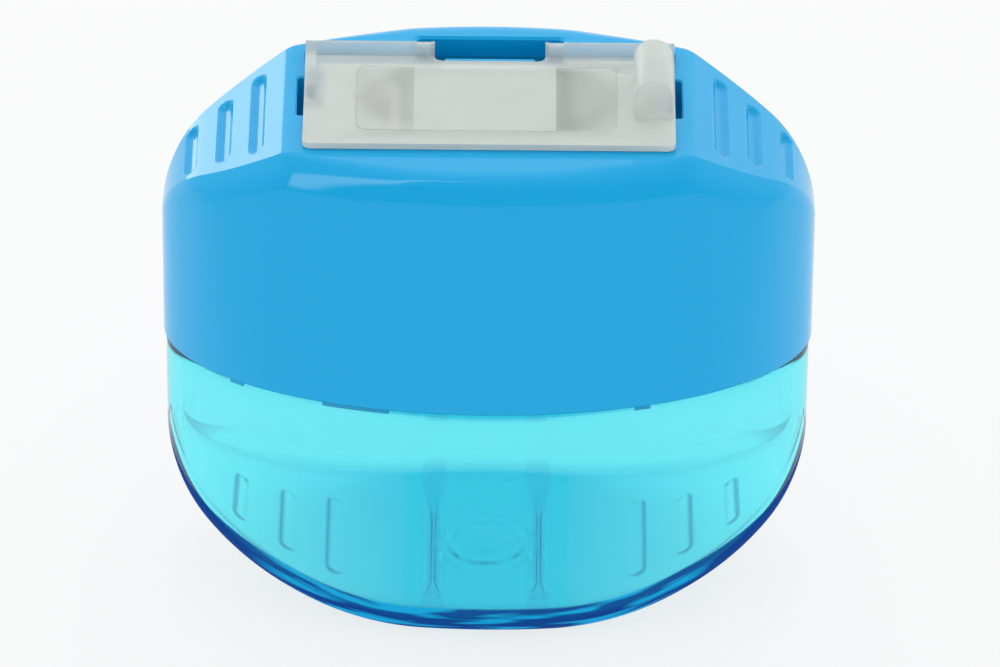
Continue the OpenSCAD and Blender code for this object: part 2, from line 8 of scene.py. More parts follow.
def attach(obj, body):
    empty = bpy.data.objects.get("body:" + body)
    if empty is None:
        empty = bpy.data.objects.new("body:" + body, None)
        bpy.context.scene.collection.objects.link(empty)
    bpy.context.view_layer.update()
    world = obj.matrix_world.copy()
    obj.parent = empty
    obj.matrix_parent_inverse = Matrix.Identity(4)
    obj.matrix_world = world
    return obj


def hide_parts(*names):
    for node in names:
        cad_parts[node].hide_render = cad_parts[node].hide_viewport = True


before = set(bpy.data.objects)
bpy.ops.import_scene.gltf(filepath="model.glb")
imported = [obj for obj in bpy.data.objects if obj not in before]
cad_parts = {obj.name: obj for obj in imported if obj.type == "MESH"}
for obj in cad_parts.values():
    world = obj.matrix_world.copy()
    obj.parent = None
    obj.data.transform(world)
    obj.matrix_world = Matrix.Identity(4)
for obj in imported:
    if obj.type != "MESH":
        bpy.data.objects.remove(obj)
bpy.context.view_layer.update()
scene = bpy.context.scene
# Lengths are in millimetres, and MM turns them to metres.
MM = 0.001


# ---------------------------------------------------------------- upper shell
# The blue upper half: one injection moulding in opaque high-gloss polystyrene, about 1.6 mm thick,
# open below. The lid seat, the tongue, the catch tabs and the hinge knuckles are part of it.

HALF_WIDTH = 32.5
HALF_DEPTH = 15.75
TOP_Z = 55.2
SEAM_Z = 28.0
SEAM_GAP = 0.1
SHELL_WALL = 1.6
TOP_WALL = 2.2
CREST_HALF = 19.9
SHOULDER_RADIUS = 9.75
SHOULDER_RISE = 13.9
EDGE_DEPTH = 2.9
EDGE_DROP = 3.3
EDGE_FADE = 0.9
INNER_EDGE = (EDGE_DEPTH * 0.8, EDGE_DROP * 0.9)
INNER_CREST = CREST_HALF - 0.35
CREASE_SOFTNESS = 0.7
CREASE_ANGLE = radians(52)
CREASE_START = 0.4
SEAM_CHAMFER = 0.2
LIP_HEIGHT = 3.0
LAP_WALL = 0.8
LIP_CLEARANCE = 0.15
GROOVE_RADIUS = 0.86
GROOVE_DEPTH = 0.5
GROOVE_LENGTHS = (13.6, 10.6, 8.0)
GROOVE_OFFSET = 3.0
GROOVE_PITCH = 3.3
UPPER_GROOVES = [CREST_HALF + GROOVE_OFFSET + GROOVE_PITCH * i for i in range(3)]
ROW_GAP = 0.1
WELD = 0.01
SHELL_SHARP = 38
RIPPLE_SIZE = 4.5
MARK_SIZE = 0.9
SHELL_BLUE = "#08b4f2"


def linear(hex_colour):
    """Linear RGBA of an sRGB hex colour."""
    parts = [int(hex_colour[i:i + 2], 16) / 255 for i in (1, 3, 5)]
    return [p / 12.92 if p <= 0.04045 else ((p + 0.055) / 1.055) ** 2.4 for p in parts] + [1.0]


def new_material(name):
    """An empty material and its output node."""
    material = bpy.data.materials.new(name)
    material.use_nodes = True
    material.node_tree.nodes.clear()
    return material, add(material, "OutputMaterial")


def add(material, kind, settings=None, **inputs):
    """A node with its settings and its inputs: a value, or a (node, output) pair to link."""
    tree = material.node_tree
    node = tree.nodes.new("ShaderNode" + kind)
    for key, value in (settings or {}).items():
        setattr(node, key, value)
    for key, value in inputs.items():
        socket = node.inputs[int(key[1:]) if key[1:].isdigit() else key.replace("_", " ")]
        if isinstance(value, tuple) and len(value) == 2 and isinstance(value[0], bpy.types.Node):
            tree.links.new(value[0].outputs[value[1]], socket)
        else:
            socket.default_value = value
    return node


def link(material, node, output, target, socket):
    """Links an output of one node to a socket of another."""
    material.node_tree.links.new(node.outputs[output], target.inputs[socket])


def rim_profile(half_width, height, crest_half, radius, straight, softness):
    """Height of a body half's rim over the seam, as a function of the distance from the middle:
    flat crest, sloping rim, round shoulder, straight side."""
    centre = half_width - radius
    rise = height - straight
    run = crest_half - centre
    angle = atan2(rise, run) - acos(radius / hypot(run, rise))
    touch = centre + radius * cos(angle)
    slope = (height - straight - radius * sin(angle)) / (touch - crest_half)

    def rim(x):
        x = abs(x)
        if x >= touch:
            return straight + sqrt(max(0.0, radius ** 2 - (x - centre) ** 2))
        past = x - crest_half
        if past <= -softness:
            return height
        if past < softness:
            return height - slope * (past + softness) ** 2 / (4 * softness)
        return height - slope * past
    return rim


def stations(half_width, marks, spread, step, coarse=112, closest=0.0016):
    """Angles round the oval: an even set, with a fine set round each mark across the width, and none
    closer together than the last value."""
    angles = {round(pi * i / coarse, 5) for i in range(coarse + 1)}
    for mark in marks:
        count = int(spread / step)
        for i in range(-count, count + 1):
            angles.add(round(acos((mark + i * step) / half_width), 5))
    ordered = sorted(angles)
    kept = [ordered[0]]
    for angle in ordered[1:]:
        if angle - kept[-1] > closest:
            kept.append(angle)
    kept[-1] = pi
    return kept


def loft(bm, angles, lines, point, inside=False, marks=()):
    """A grid whose columns are the stations and whose rows are the lines, moved into place. Its two
    pointed ends are welded, and its faces point outwards, or into the hollow for an inside. Each mark
    is a layer of the points and what it keeps of them."""
    known = set(bm.faces)
    made = bmesh.ops.create_grid(bm, x_segments=len(angles) - 1, y_segments=len(lines) - 1, size=1)
    for vert in made["verts"]:
        column = round((vert.co.x + 1) / 2 * (len(angles) - 1))
        row = round((vert.co.y + 1) / 2 * (len(lines) - 1))
        vert.co = Vector(point(angles[column], lines[row])) * MM
        for layer, measure in marks:
            vert[layer] = measure(lines[row], vert.co.x / MM, vert.co.y / MM)
    bmesh.ops.remove_doubles(bm, verts=made["verts"], dist=WELD * MM)
    skin = [f for f in bm.faces if f not in known]
    bmesh.ops.recalc_face_normals(bm, faces=skin)
    if inside:
        bmesh.ops.reverse_faces(bm, faces=skin)


def half_lines(rings, wall, edge, top):
    """Rows of a body half from its front edge over the crest to its rear edge."""
    front = [("ring", i) for i in range(rings)]
    front += [("wall", i / wall) for i in range(wall)]
    front += [("edge", i / edge) for i in range(edge)]
    middle = [("top", i / top, 0) for i in range(top + 1)]
    rows = [(kind, value, -1) for kind, value in front]
    rows += middle
    rows += [(kind, value, 1) for kind, value in reversed(front)]
    return rows


def oval_y(x, half_width, half_depth):
    """Half the depth of an oval at a distance from its middle."""
    return half_depth * sqrt(max(0.0, 1 - (x / half_width) ** 2))


def body_half(half_width, half_depth, rim, base, rings, edge, sink=None, flip=False, crease=0.0):
    """The placing function of a body half: an oval wall whose edge rounds into the rim. Outside the
    crest the rounding stops short of the rim's surface by the crease angle."""
    crest_y = oval_y(CREST_HALF, half_width, half_depth)

    def point(angle, line):
        kind, value, side = line
        x = half_width * cos(angle)
        y = half_depth * sin(angle)
        z = rim(x)
        share = min(1.0, y / crest_y)
        edge_y = edge[0] * share ** EDGE_FADE
        edge_z = edge[1] * share
        if kind == "ring":
            inset, height = rings[value]
            x = (half_width - inset) * cos(angle)
            y = side * (half_depth - inset) * sin(angle)
            z = height
        elif kind == "wall":
            y = side * y
            z = base + value * (z - edge_z - base)
        elif kind == "edge":
            past = (abs(x) / CREST_HALF - CREASE_START) / (1 - CREASE_START)
            stop = pi / 2 - crease * min(1.0, max(0.0, past))
            turn = value * stop
            y = side * (y - edge_y * (1 - cos(turn)) / (1 - cos(stop)))
            z = z - edge_z + edge_z * sin(turn) / sin(stop)
        else:
            y = (2 * value - 1) * (y - edge_y)
            if sink:
                x, z = sink(x, y, z)
        return (x, y, SEAM_Z + (-z if flip else z))
    return point


def groove_at(rim, centres, radius, x, y, reach=0.2):
    """How far inside one of the three grooves at each side a point is, from nought to one, and the
    slope of the rim there."""
    for centre, length in zip(centres, GROOVE_LENGTHS):
        lean = (rim(centre + reach) - rim(centre - reach)) / (2 * reach)
        across = (abs(x) - centre) * hypot(1, lean)
        along = max(0.0, abs(y) - length / 2 + radius)
        inside = 1 - (across ** 2 + along ** 2) / radius ** 2
        if inside > 0:
            return inside, lean
    return 0.0, 0.0


def groove_sink(rim, centres, radius, depth, crisp=1.15, power=1):
    """Sinks the rim along the round-ended grooves."""
    def sink(x, y, z):
        inside, lean = groove_at(rim, centres, radius, x, y)
        fall = depth * min(1.0, crisp * inside) ** power / hypot(1, lean)
        return x + fall * lean * (1 if x > 0 else -1), z - fall
    return sink


def join_rims(bm):
    """Bridges the open rim of the outside to the open rim of the inside."""
    bmesh.ops.bridge_loops(bm, edges=[e for e in bm.edges if e.is_boundary])


def smooth(piece, sharp):
    """Smooth shading with sharp edges above an angle."""
    piece.data.shade_smooth()
    piece.data.set_sharp_from_angle(angle=radians(sharp))


def finish_piece(bm, name, material, body, node, sharp=35):
    """Turns a bmesh into a shaded piece that rides on its body and stands for its CAD node."""
    mesh = bpy.data.meshes.new(name)
    bm.to_mesh(mesh)
    bm.free()
    mesh.materials.append(material)
    piece = bpy.data.objects.new(name, mesh)
    scene.collection.objects.link(piece)
    smooth(piece, sharp)
    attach(piece, body)
    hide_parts(node)
    return piece


def add_box(bm, low, high):
    """A box between two corners, in millimetres."""
    size = [b - a for a, b in zip(low, high)]
    place = Matrix.Translation([(a + b) / 2 * MM for a, b in zip(low, high)])
    scaled = Matrix.Diagonal([s * MM for s in size] + [1])
    return bmesh.ops.create_cube(bm, size=1, matrix=place @ scaled)["verts"]


def add_rod(bm, start, end, radius, segments=48):
    """A closed round rod between two points, in millimetres."""
    start, end = Vector(start) * MM, Vector(end) * MM
    turn = (end - start).to_track_quat("Z", "Y").to_matrix().to_4x4()
    place = Matrix.Translation((start + end) / 2) @ turn
    return bmesh.ops.create_cone(
        bm, cap_ends=True, segments=segments, radius1=radius * MM, radius2=radius * MM,
        depth=(end - start).length, matrix=place,
    )["verts"]


def bevel(bm, edges, offset, segments, clamp=False):
    """Rounds edges, or breaks them by a chamfer where there is one segment."""
    bmesh.ops.bevel(
        bm, geom=edges, offset=offset * MM, segments=segments, profile=0.5, affect="EDGES",
        clamp_overlap=clamp, material=-1,
    )


def upright_edges(bm):
    """The edges of a box that stand up."""
    return [e for e in bm.edges if abs(e.verts[0].co.z - e.verts[1].co.z) > WELD * MM]


def well(low, high, corner, surface, flare):
    """A cutter with round upright corners that opens out by a small chamfer at the surface."""
    bm = bmesh.new()
    add_box(bm, low, high)
    bevel(bm, upright_edges(bm), corner, 4)
    break_z = (surface - flare) * MM
    everything = bm.verts[:] + bm.edges[:] + bm.faces[:]
    bmesh.ops.bisect_plane(bm, geom=everything, plane_co=(0, 0, break_z), plane_no=(0, 0, 1))
    spread = (high[2] - surface + flare) * MM
    for vert in bm.verts:
        if vert.co.z > break_z + WELD * MM:
            vert.co.x += spread if vert.co.x > (low[0] + high[0]) / 2 * MM else -spread
            vert.co.y += spread if vert.co.y > (low[1] + high[1]) / 2 * MM else -spread
    return bm


def boolean(piece, tool, operation):
    """Cuts a closed bmesh out of a piece, or joins it on, and drops the helper object."""
    mesh = bpy.data.meshes.new("tool")
    bmesh.ops.recalc_face_normals(tool, faces=tool.faces)
    tool.to_mesh(mesh)
    tool.free()
    helper = bpy.data.objects.new("tool", mesh)
    scene.collection.objects.link(helper)
    step = piece.modifiers.new("shape", "BOOLEAN")
    step.object = helper
    step.operation = operation
    step.solver = "MANIFOLD"
    apply_modifiers(piece)
    bpy.data.objects.remove(helper)
    bpy.data.meshes.remove(mesh)


def apply_modifiers(piece):
    """Replaces a piece's mesh by what its modifiers make of it."""
    bpy.context.view_layer.update()
    shaped = piece.evaluated_get(bpy.context.evaluated_depsgraph_get())
    result = bpy.data.meshes.new_from_object(shaped)
    old = piece.data
    piece.modifiers.clear()
    piece.data = result
    result.name = old.name
    bpy.data.meshes.remove(old)


# Glossy polystyrene: a faint ripple from the mould's polish, and hair-fine handling marks in the gloss.
shell_gloss, output = new_material("polystyrene_gloss_moulded_blue")
place = add(shell_gloss, "TexCoord")
ripple = add(
    shell_gloss, "TexNoise",
    Vector=(place, "Object"), Scale=1 / (RIPPLE_SIZE * MM), Detail=2.0, Roughness=0.4,
)
handling = add(
    shell_gloss, "TexNoise",
    Vector=(place, "Object"), Scale=1 / (MARK_SIZE * MM), Detail=4.0, Roughness=0.65,
)
polish = add(
    shell_gloss, "MapRange",
    Value=(handling, "Fac"), From_Min=0.35, From_Max=0.75, To_Min=0.06, To_Max=0.12,
)
swell = add(shell_gloss, "Bump", Height=(ripple, "Fac"), Strength=0.08, Distance=0.05 * MM)
paint = add(
    shell_gloss, "BsdfPrincipled",
    Base_Color=linear(SHELL_BLUE), Roughness=(polish, "Result"), IOR=1.5, Normal=(swell, "Normal"),
)
link(shell_gloss, paint, "BSDF", output, "Surface")

crown_height = TOP_Z - SEAM_Z
upper_rim = rim_profile(
    HALF_WIDTH, crown_height, CREST_HALF, SHOULDER_RADIUS, SHOULDER_RISE, CREASE_SOFTNESS
)
inner_width = HALF_WIDTH - SHELL_WALL
inner_rim = rim_profile(
    inner_width, crown_height - TOP_WALL, INNER_CREST,
    SHOULDER_RADIUS - SHELL_WALL, SHOULDER_RISE, CREASE_SOFTNESS,
)
upper_marks = [side * x for side in (-1, 1) for x in UPPER_GROOVES + [CREST_HALF]]
upper_angles = stations(HALF_WIDTH, upper_marks, spread=1.3, step=0.13)
shell_bm = bmesh.new()
loft(
    shell_bm, upper_angles, half_lines(rings=1, wall=14, edge=9, top=76),
    body_half(
        HALF_WIDTH, HALF_DEPTH, upper_rim, SEAM_GAP + SEAM_CHAMFER, [(SEAM_CHAMFER, SEAM_GAP)],
        (EDGE_DEPTH, EDGE_DROP), crease=CREASE_ANGLE,
        sink=groove_sink(upper_rim, UPPER_GROOVES, GROOVE_RADIUS, GROOVE_DEPTH),
    ),
)
# Inside, the wall is thinner up to the lap that the container's lip slides into.
lap_step = LAP_WALL - SHELL_WALL
lap_top = LIP_HEIGHT + LIP_CLEARANCE
loft(
    shell_bm, upper_angles, half_lines(rings=3, wall=6, edge=6, top=30),
    body_half(
        inner_width, HALF_DEPTH - SHELL_WALL, inner_rim, lap_top + ROW_GAP,
        [(lap_step, SEAM_GAP), (lap_step, lap_top), (0.0, lap_top)], INNER_EDGE,
    ),
    inside=True,
)
join_rims(shell_bm)
shell = finish_piece(
    shell_bm, "upper_shell_moulding", shell_gloss, "head", "upper_shell", sharp=SHELL_SHARP
)

# The lid seat in the flat top: stepped opening for the block holder, two slots for the lid's hooks,
# a trough under each hinge barrel, and the pocket behind the lid with its two slits beside the tongue.
CUT_TOP = 55.7
WELL_CORNER = 0.4
WELL_BREAK = 0.12
HOLDER_WELL = ((-15.9, -8.2, 49.0), (15.9, 6.2, CUT_TOP))
FLANGE_WELL = ((-16.4, -8.7, 54.0), (16.4, 6.21, CUT_TOP))
SLOT_INNER = 16.9
SLOT_OUTER = 19.0
SLOT_FRONT = -2.9
SLOT_REAR = 4.0
SLOT_FLOOR = 51.5
SLOT_CORNER = 0.35
SLOT_BREAK = 0.15
POCKET_HALF = 7.35
POCKET_REAR = 11.5
POCKET_FLOOR = 52.0
POCKET_WALL = 1.2
POCKET_CORNER = 0.6
POCKET_BREAK = 0.25
TRAY_DEPTH = 0.9
TONGUE_HALF = 4.5
TONGUE_END = 7.8
SLIT_FRONT = 6.65
SLIT_REAR = 9.5
SLIT_CORNER = 0.3
HINGE_Y = 7.75
HINGE_Z = 55.85
TROUGH_RADIUS = 1.2
TROUGH_END = 18.45
KNUCKLE_INNER = 6.0
KNUCKLE_OUTER = 7.2
KNUCKLE_RADIUS = 0.72
POST_HALF = 0.4
PIN_BORE_RADIUS = 0.47
OVERLAP = 0.3

tabs_and_tray = bmesh.new()
tray_reach = POCKET_HALF + POCKET_WALL
add_box(
    tabs_and_tray, (-tray_reach, SLIT_FRONT - OVERLAP, POCKET_FLOOR - POCKET_WALL),
    (tray_reach, POCKET_REAR + POCKET_WALL, TOP_Z - TRAY_DEPTH),
)
tray_verts = set(tabs_and_tray.verts)

# Three catch tabs inside the front wall, which reach just below the seam into the container. Above
# the step, their fronts run into the wall.
TAB_CENTRES = (-24.6, -12.9, 15.3)
TAB_WIDTHS = (1.4, 6.6, 1.6)
TAB_INSET = 1.9
TAB_THICKNESS = 1.1
TAB_REACH = 1.2
TAB_HEIGHT = 5.9
TAB_STEP = (3.3, 3.5)
TAB_ROOT = 1.0
for centre, width in zip(TAB_CENTRES, TAB_WIDTHS):
    corners = add_box(
        tabs_and_tray, (centre - width / 2, -1, SEAM_Z - TAB_REACH),
        (centre + width / 2, 1, SEAM_Z + TAB_HEIGHT),
    )
    sides = {e for v in corners for e in v.link_edges}
    long_edges = [e for e in sides if abs(e.verts[0].co.x - e.verts[1].co.x) > 0.1 * MM]
    bmesh.ops.subdivide_edges(tabs_and_tray, edges=long_edges, cuts=7, use_grid_fill=True)
for level in TAB_STEP:
    faces = [f for f in tabs_and_tray.faces if not any(v in tray_verts for v in f.verts)]
    edges = list({e for f in faces for e in f.edges})
    verts = list({v for f in faces for v in f.verts})
    bmesh.ops.bisect_plane(
        tabs_and_tray, geom=faces + edges + verts, plane_co=(0, 0, (SEAM_Z + level) * MM),
        plane_no=(0, 0, 1),
    )
step_z = (SEAM_Z + sum(TAB_STEP) / 2) * MM
for vert in set(tabs_and_tray.verts) - tray_verts:
    inset = TAB_INSET + (TAB_THICKNESS if vert.co.y > 0 else 0.0)
    if vert.co.z > step_z and vert.co.y < 0:
        inset = TAB_INSET - TAB_ROOT
    share = vert.co.x / ((HALF_WIDTH - inset) * MM)
    vert.co.y = -(HALF_DEPTH - inset) * MM * sqrt(1 - share ** 2)
boolean(shell, tabs_and_tray, "UNION")

pocket_low = (-POCKET_HALF, TONGUE_END, POCKET_FLOOR)
pocket_high = (POCKET_HALF, POCKET_REAR, CUT_TOP)
cuts = [
    well(*HOLDER_WELL, WELL_CORNER, TOP_Z, WELL_BREAK),
    well(*FLANGE_WELL, WELL_CORNER, TOP_Z, WELL_BREAK),
    well(pocket_low, pocket_high, POCKET_CORNER, TOP_Z, POCKET_BREAK),
]
for side in (-1, 1):
    near, far = sorted((side * SLOT_INNER, side * SLOT_OUTER))
    low, high = (near, SLOT_FRONT, SLOT_FLOOR), (far, SLOT_REAR, CUT_TOP)
    cuts.append(well(low, high, SLOT_CORNER, TOP_Z, SLOT_BREAK))
    near, far = sorted((side * TONGUE_HALF, side * (POCKET_HALF - 2 * WELD)))
    low, high = (near, SLIT_FRONT, POCKET_FLOOR + WELD), (far, SLIT_REAR, CUT_TOP)
    cuts.append(well(low, high, SLIT_CORNER, TOP_Z, WELL_BREAK))
    trough = bmesh.new()
    start = (side * (POCKET_HALF - 0.4), HINGE_Y, HINGE_Z)
    add_rod(trough, start, (side * TROUGH_END, HINGE_Y, HINGE_Z), TROUGH_RADIUS)
    cuts.append(trough)
for cut in cuts:
    boolean(shell, cut, "DIFFERENCE")

# Two snap-in knuckles that carry the lid's pins, each on a post that stands in the pocket.
knuckles = bmesh.new()
bores = bmesh.new()
for side in (-1, 1):
    near, far = sorted((side * KNUCKLE_INNER, side * KNUCKLE_OUTER))
    add_rod(knuckles, (near, HINGE_Y, HINGE_Z), (far, HINGE_Y, HINGE_Z), KNUCKLE_RADIUS)
    add_box(
        knuckles, (near, HINGE_Y - POST_HALF, POCKET_FLOOR - OVERLAP),
        (far, HINGE_Y + POST_HALF, HINGE_Z - OVERLAP),
    )
    start = (near - 0.1, HINGE_Y, HINGE_Z)
    add_rod(bores, start, (far + 0.1, HINGE_Y, HINGE_Z), PIN_BORE_RADIUS, segments=32)
boolean(shell, knuckles, "UNION")
boolean(shell, bores, "DIFFERENCE")
smooth(shell, SHELL_SHARP)

# Outside the crest the rim is a crisp edge, because the rounding below it stops short there.
crest_y = oval_y(CREST_HALF, HALF_WIDTH, HALF_DEPTH)
for edge in shell.data.edges:
    ends = [shell.data.vertices[i].co / MM for i in edge.vertices]
    rims = [oval_y(e.x, HALF_WIDTH, HALF_DEPTH) for e in ends]
    rims = [y - EDGE_DEPTH * (y / crest_y) ** EDGE_FADE for y in rims]
    on_rim = all(
        abs(abs(e.y) - y) < 2 * WELD and e.z > SEAM_Z + SHOULDER_RISE for e, y in zip(ends, rims)
    )
    if on_rim and min(abs(e.x) for e in ends) > CREST_HALF:
        edge.use_edge_sharp = True


# ---------------------------------------------------------------- shavings container
# The lower half: a clear cup moulded in cyan-tinted polystyrene, 1.5 mm thick, with a lip that
# locates the upper shell. It stands on two foot rails, and the gate is in the middle of the bottom.

CUP_STEP = 0.25
CUP_WALL = 1.5
KEEL_HALF = 6.6
KEEL_RADIUS = 32.0
KEEL_EDGE = (2.1, 3.9)
INNER_KEEL_EDGE = (KEEL_EDGE[0] * 0.75, KEEL_EDGE[1] * 0.75)
CUP_BASE = 0.3
CUP_BREAK = 0.12
LIP_BREAK = 0.15
BILGE_RADIUS = 12.4
FOOT_HEIGHT = 0.6
CUP_GROOVE_RADIUS = 1.1
CUP_GROOVE_DEPTH = 0.09
FLANK_SHIFT = (0.42, 0.5)
FLANK_GAIN = 2.5
LOWER_OFFSET = 8.8
LOWER_PITCH = 4.9
LOWER_GROOVES = [KEEL_HALF + LOWER_OFFSET + LOWER_PITCH * i for i in range(3)]
FOOT_X = 5.3
FOOT_HALF = 1.1
FOOT_LENGTH = 20.0
FOOT_SLOPE = 1.05
FOOT_TAPER = 0.25
GATE_RINGS = ((3.6, 0.55, 0.22), (4.85, 0.4, 0.08))
GATE_DOME = 2.9
GATE_RISE = 0.5
HAZE = 0.03
RAIL_HAZE = 0.14
BAND_STRENGTH = 0.93
FLANK_STRENGTH = 0.6
TINT_DENSITY = 560.0
FLOW_SIZE = 6.0
STREAK_LENGTH = 9.0
STREAKS_ACROSS = 5.0
TAKEN_LIGHT = "#ff442d"
# Painted shade on the bottom, deepest in the middle.
BOTTOM_SHADE_TINT = "#00ceef"
SHADOW_TINT = "#cbfbfd"
SCATTER_CYAN = "#1cb4e0"
# Painted deep blue and painted highlight streaks on the rounded bottom edge.
PAINTED_EDGE_NAVY = "#0a479c"
PAINTED_STREAK_AZURE = "#16b2ee"
# Painted shade lines on the groove flanks.
FLANK_SHADE_BLUE = "#0d7fc4"

cup_half_width = HALF_WIDTH - CUP_STEP
cup_half_depth = HALF_DEPTH - CUP_STEP
keel_drop = SEAM_Z - FOOT_HEIGHT

# Clear polystyrene: glassy and faintly wavy from the mould's filling. The tint is in the plastic, so
# places that are thick or seen edge-on look deeper. Shade and highlights are painted on besides: on
# the bottom, on its rounded edge and on the flanks of the grooves.
clear_cyan, output = new_material("polystyrene_clear_moulded_cyan")
place = add(clear_cyan, "TexCoord")
flow = add(clear_cyan, "TexNoise", Vector=(place, "Object"), Scale=1 / (FLOW_SIZE * MM), Detail=1.0)
swell = add(clear_cyan, "Bump", Height=(flow, "Fac"), Strength=0.06, Distance=0.05 * MM)
# Painted shade: the bottom is tinted deeper, most of all in the middle, standing for the shadow on the
# table under the cup, which gets its light only through the cyan walls.
bend = add(clear_cyan, "Attribute", {"attribute_name": "rounding"})
shaded_bottom = add(clear_cyan, "MapRange", Value=(bend, "Fac"), From_Min=0.4, From_Max=1.0)
apart = add(clear_cyan, "SeparateXYZ", Vector=(place, "Object"))
aside = add(clear_cyan, "Math", {"operation": "ABSOLUTE"}, i0=(apart, "X"))
middle = add(clear_cyan, "MapRange", Value=(aside, "Value"), From_Min=30 * MM, From_Max=8 * MM)
shaded_bottom = add(clear_cyan, "Math", {"operation": "MULTIPLY"}, i0=(shaded_bottom, "Result"), i1=(middle, "Result"))
shaded_tint = add(clear_cyan, "CombineColor")
for channel, share in zip(("Red", "Green", "Blue"), linear(BOTTOM_SHADE_TINT)):
    less = add(clear_cyan, "MapRange", Value=(shaded_bottom, "Value"), To_Min=1.0, To_Max=share)
    link(clear_cyan, less, "Result", shaded_tint, channel)
glassy = add(
    clear_cyan, "BsdfPrincipled", Base_Color=(shaded_tint, "Color"), Roughness=0.035, IOR=1.57,
    Transmission_Weight=1.0, Normal=(swell, "Normal"),
)
# Light passes through the clear wall, so the shadow inside and under the cup stays thin and tinted.
through = add(clear_cyan, "BsdfTransparent", Color=linear(SHADOW_TINT))
rays = add(clear_cyan, "LightPath")
wall = add(clear_cyan, "MixShader", Fac=(rays, "Is Shadow Ray"))
link(clear_cyan, through, "BSDF", wall, 2)
# A little of the light is scattered in the tinted plastic, and more in the two textured foot rails.
off_rail = add(clear_cyan, "Math", {"operation": "SUBTRACT"}, i0=(aside, "Value"), i1=FOOT_X * MM)
off_rail = add(clear_cyan, "Math", {"operation": "ABSOLUTE"}, i0=(off_rail, "Value"))
rail = add(
    clear_cyan, "MapRange", Value=(off_rail, "Value"),
    From_Min=(FOOT_HALF + 0.25) * MM, From_Max=(FOOT_HALF - 0.15) * MM,
)
under = add(clear_cyan, "MapRange", Value=(apart, "Z"), From_Min=2.4 * MM, From_Max=1.6 * MM)
rail = add(clear_cyan, "Math", {"operation": "MULTIPLY"}, i0=(rail, "Result"), i1=(under, "Result"))
cloudy = add(
    clear_cyan, "Math", {"operation": "MULTIPLY_ADD"}, i0=(rail, "Value"), i1=RAIL_HAZE, i2=HAZE
)
scatter = add(clear_cyan, "BsdfDiffuse", Color=linear(SCATTER_CYAN))
hazy = add(clear_cyan, "MixShader", Fac=(cloudy, "Value"))
link(clear_cyan, glassy, "BSDF", hazy, 1)
link(clear_cyan, scatter, "BSDF", hazy, 2)
# Painted shade and highlights: the rounded bottom edge, seen edge-on through many millimetres of
# plastic, is painted deep blue, with painted brighter streaks along it where the edge gathers light.
starts = add(clear_cyan, "MapRange", Value=(bend, "Fac"), From_Min=0.0, From_Max=0.05)
ends = add(clear_cyan, "MapRange", Value=(bend, "Fac"), From_Min=0.97, From_Max=0.88)
turned = add(clear_cyan, "LayerWeight", Blend=0.5)
edge_on = add(clear_cyan, "MapRange", Value=(turned, "Facing"), From_Min=0.1, From_Max=0.19)
amount = add(clear_cyan, "Math", {"operation": "MULTIPLY"}, i0=(starts, "Result"), i1=(ends, "Result"))
amount = add(clear_cyan, "Math", {"operation": "MULTIPLY"}, i0=(amount, "Value"), i1=(edge_on, "Result"))
amount = add(clear_cyan, "Math", {"operation": "MULTIPLY"}, i0=(amount, "Value"), i1=BAND_STRENGTH)
along = add(clear_cyan, "Math", {"operation": "DIVIDE"}, i0=(apart, "X"), i1=STREAK_LENGTH * MM)
across = add(clear_cyan, "Math", {"operation": "MULTIPLY"}, i0=(bend, "Fac"), i1=STREAKS_ACROSS)
lane = add(clear_cyan, "CombineXYZ", X=(along, "Value"), Y=(across, "Value"))
waves = add(clear_cyan, "TexNoise", Vector=(lane, "Vector"), Scale=1.0, Detail=1.5)
gather = add(clear_cyan, "MapRange", Value=(waves, "Fac"), From_Min=0.47, From_Max=0.58)
inner = add(clear_cyan, "MapRange", Value=(aside, "Value"), From_Min=24 * MM, From_Max=20 * MM)
gather = add(clear_cyan, "Math", {"operation": "MULTIPLY"}, i0=(gather, "Result"), i1=(inner, "Result"))
painted_edge = add(clear_cyan, "BsdfDiffuse", Color=linear(PAINTED_EDGE_NAVY))
painted_streak = add(clear_cyan, "BsdfDiffuse", Color=linear(PAINTED_STREAK_AZURE))
deep = add(clear_cyan, "MixShader", Fac=(gather, "Value"))
link(clear_cyan, painted_edge, "BSDF", deep, 1)
link(clear_cyan, painted_streak, "BSDF", deep, 2)
body = add(clear_cyan, "MixShader", Fac=(amount, "Value"))
link(clear_cyan, hazy, "Shader", body, 1)
link(clear_cyan, deep, "Shader", body, 2)
# Painted shade: the flanks of the grooves, seen edge-on, are painted as thin darker lines that stand
# for the dark lines the bent light draws there.
flanks = add(clear_cyan, "Attribute", {"attribute_name": "flank"})
seen = add(clear_cyan, "Math", {"operation": "MULTIPLY"}, i0=(flanks, "Fac"), i1=FLANK_STRENGTH)
blue = add(clear_cyan, "BsdfDiffuse", Color=linear(FLANK_SHADE_BLUE))
lined = add(clear_cyan, "MixShader", Fac=(seen, "Value"))
link(clear_cyan, body, "Shader", lined, 1)
link(clear_cyan, blue, "BSDF", lined, 2)
link(clear_cyan, lined, "Shader", wall, 1)
# The plastic takes out nearly all red on the way through it, and very little green and blue.
kept_light = [1 - taken for taken in linear(TAKEN_LIGHT)[:3]] + [1.0]
tint = add(clear_cyan, "VolumeAbsorption", Color=kept_light, Density=TINT_DENSITY)
link(clear_cyan, wall, "Shader", output, "Surface")
link(clear_cyan, tint, "Volume", output, "Volume")


def keel_profile(half_width, height, wide, small):
    """Depth of the cup's rim under the seam: flat keel, wide arc, small arc, straight side."""
    level = height - wide
    centre = half_width - small
    middle = level + sqrt((wide - small) ** 2 - (centre - KEEL_HALF) ** 2)
    touch = KEEL_HALF + wide * (centre - KEEL_HALF) / (wide - small)

    def rim(x):
        x = abs(x)
        if x >= touch:
            return middle + sqrt(max(0.0, small ** 2 - (x - centre) ** 2))
        return level + sqrt(wide ** 2 - max(0.0, x - KEEL_HALF) ** 2)
    return rim


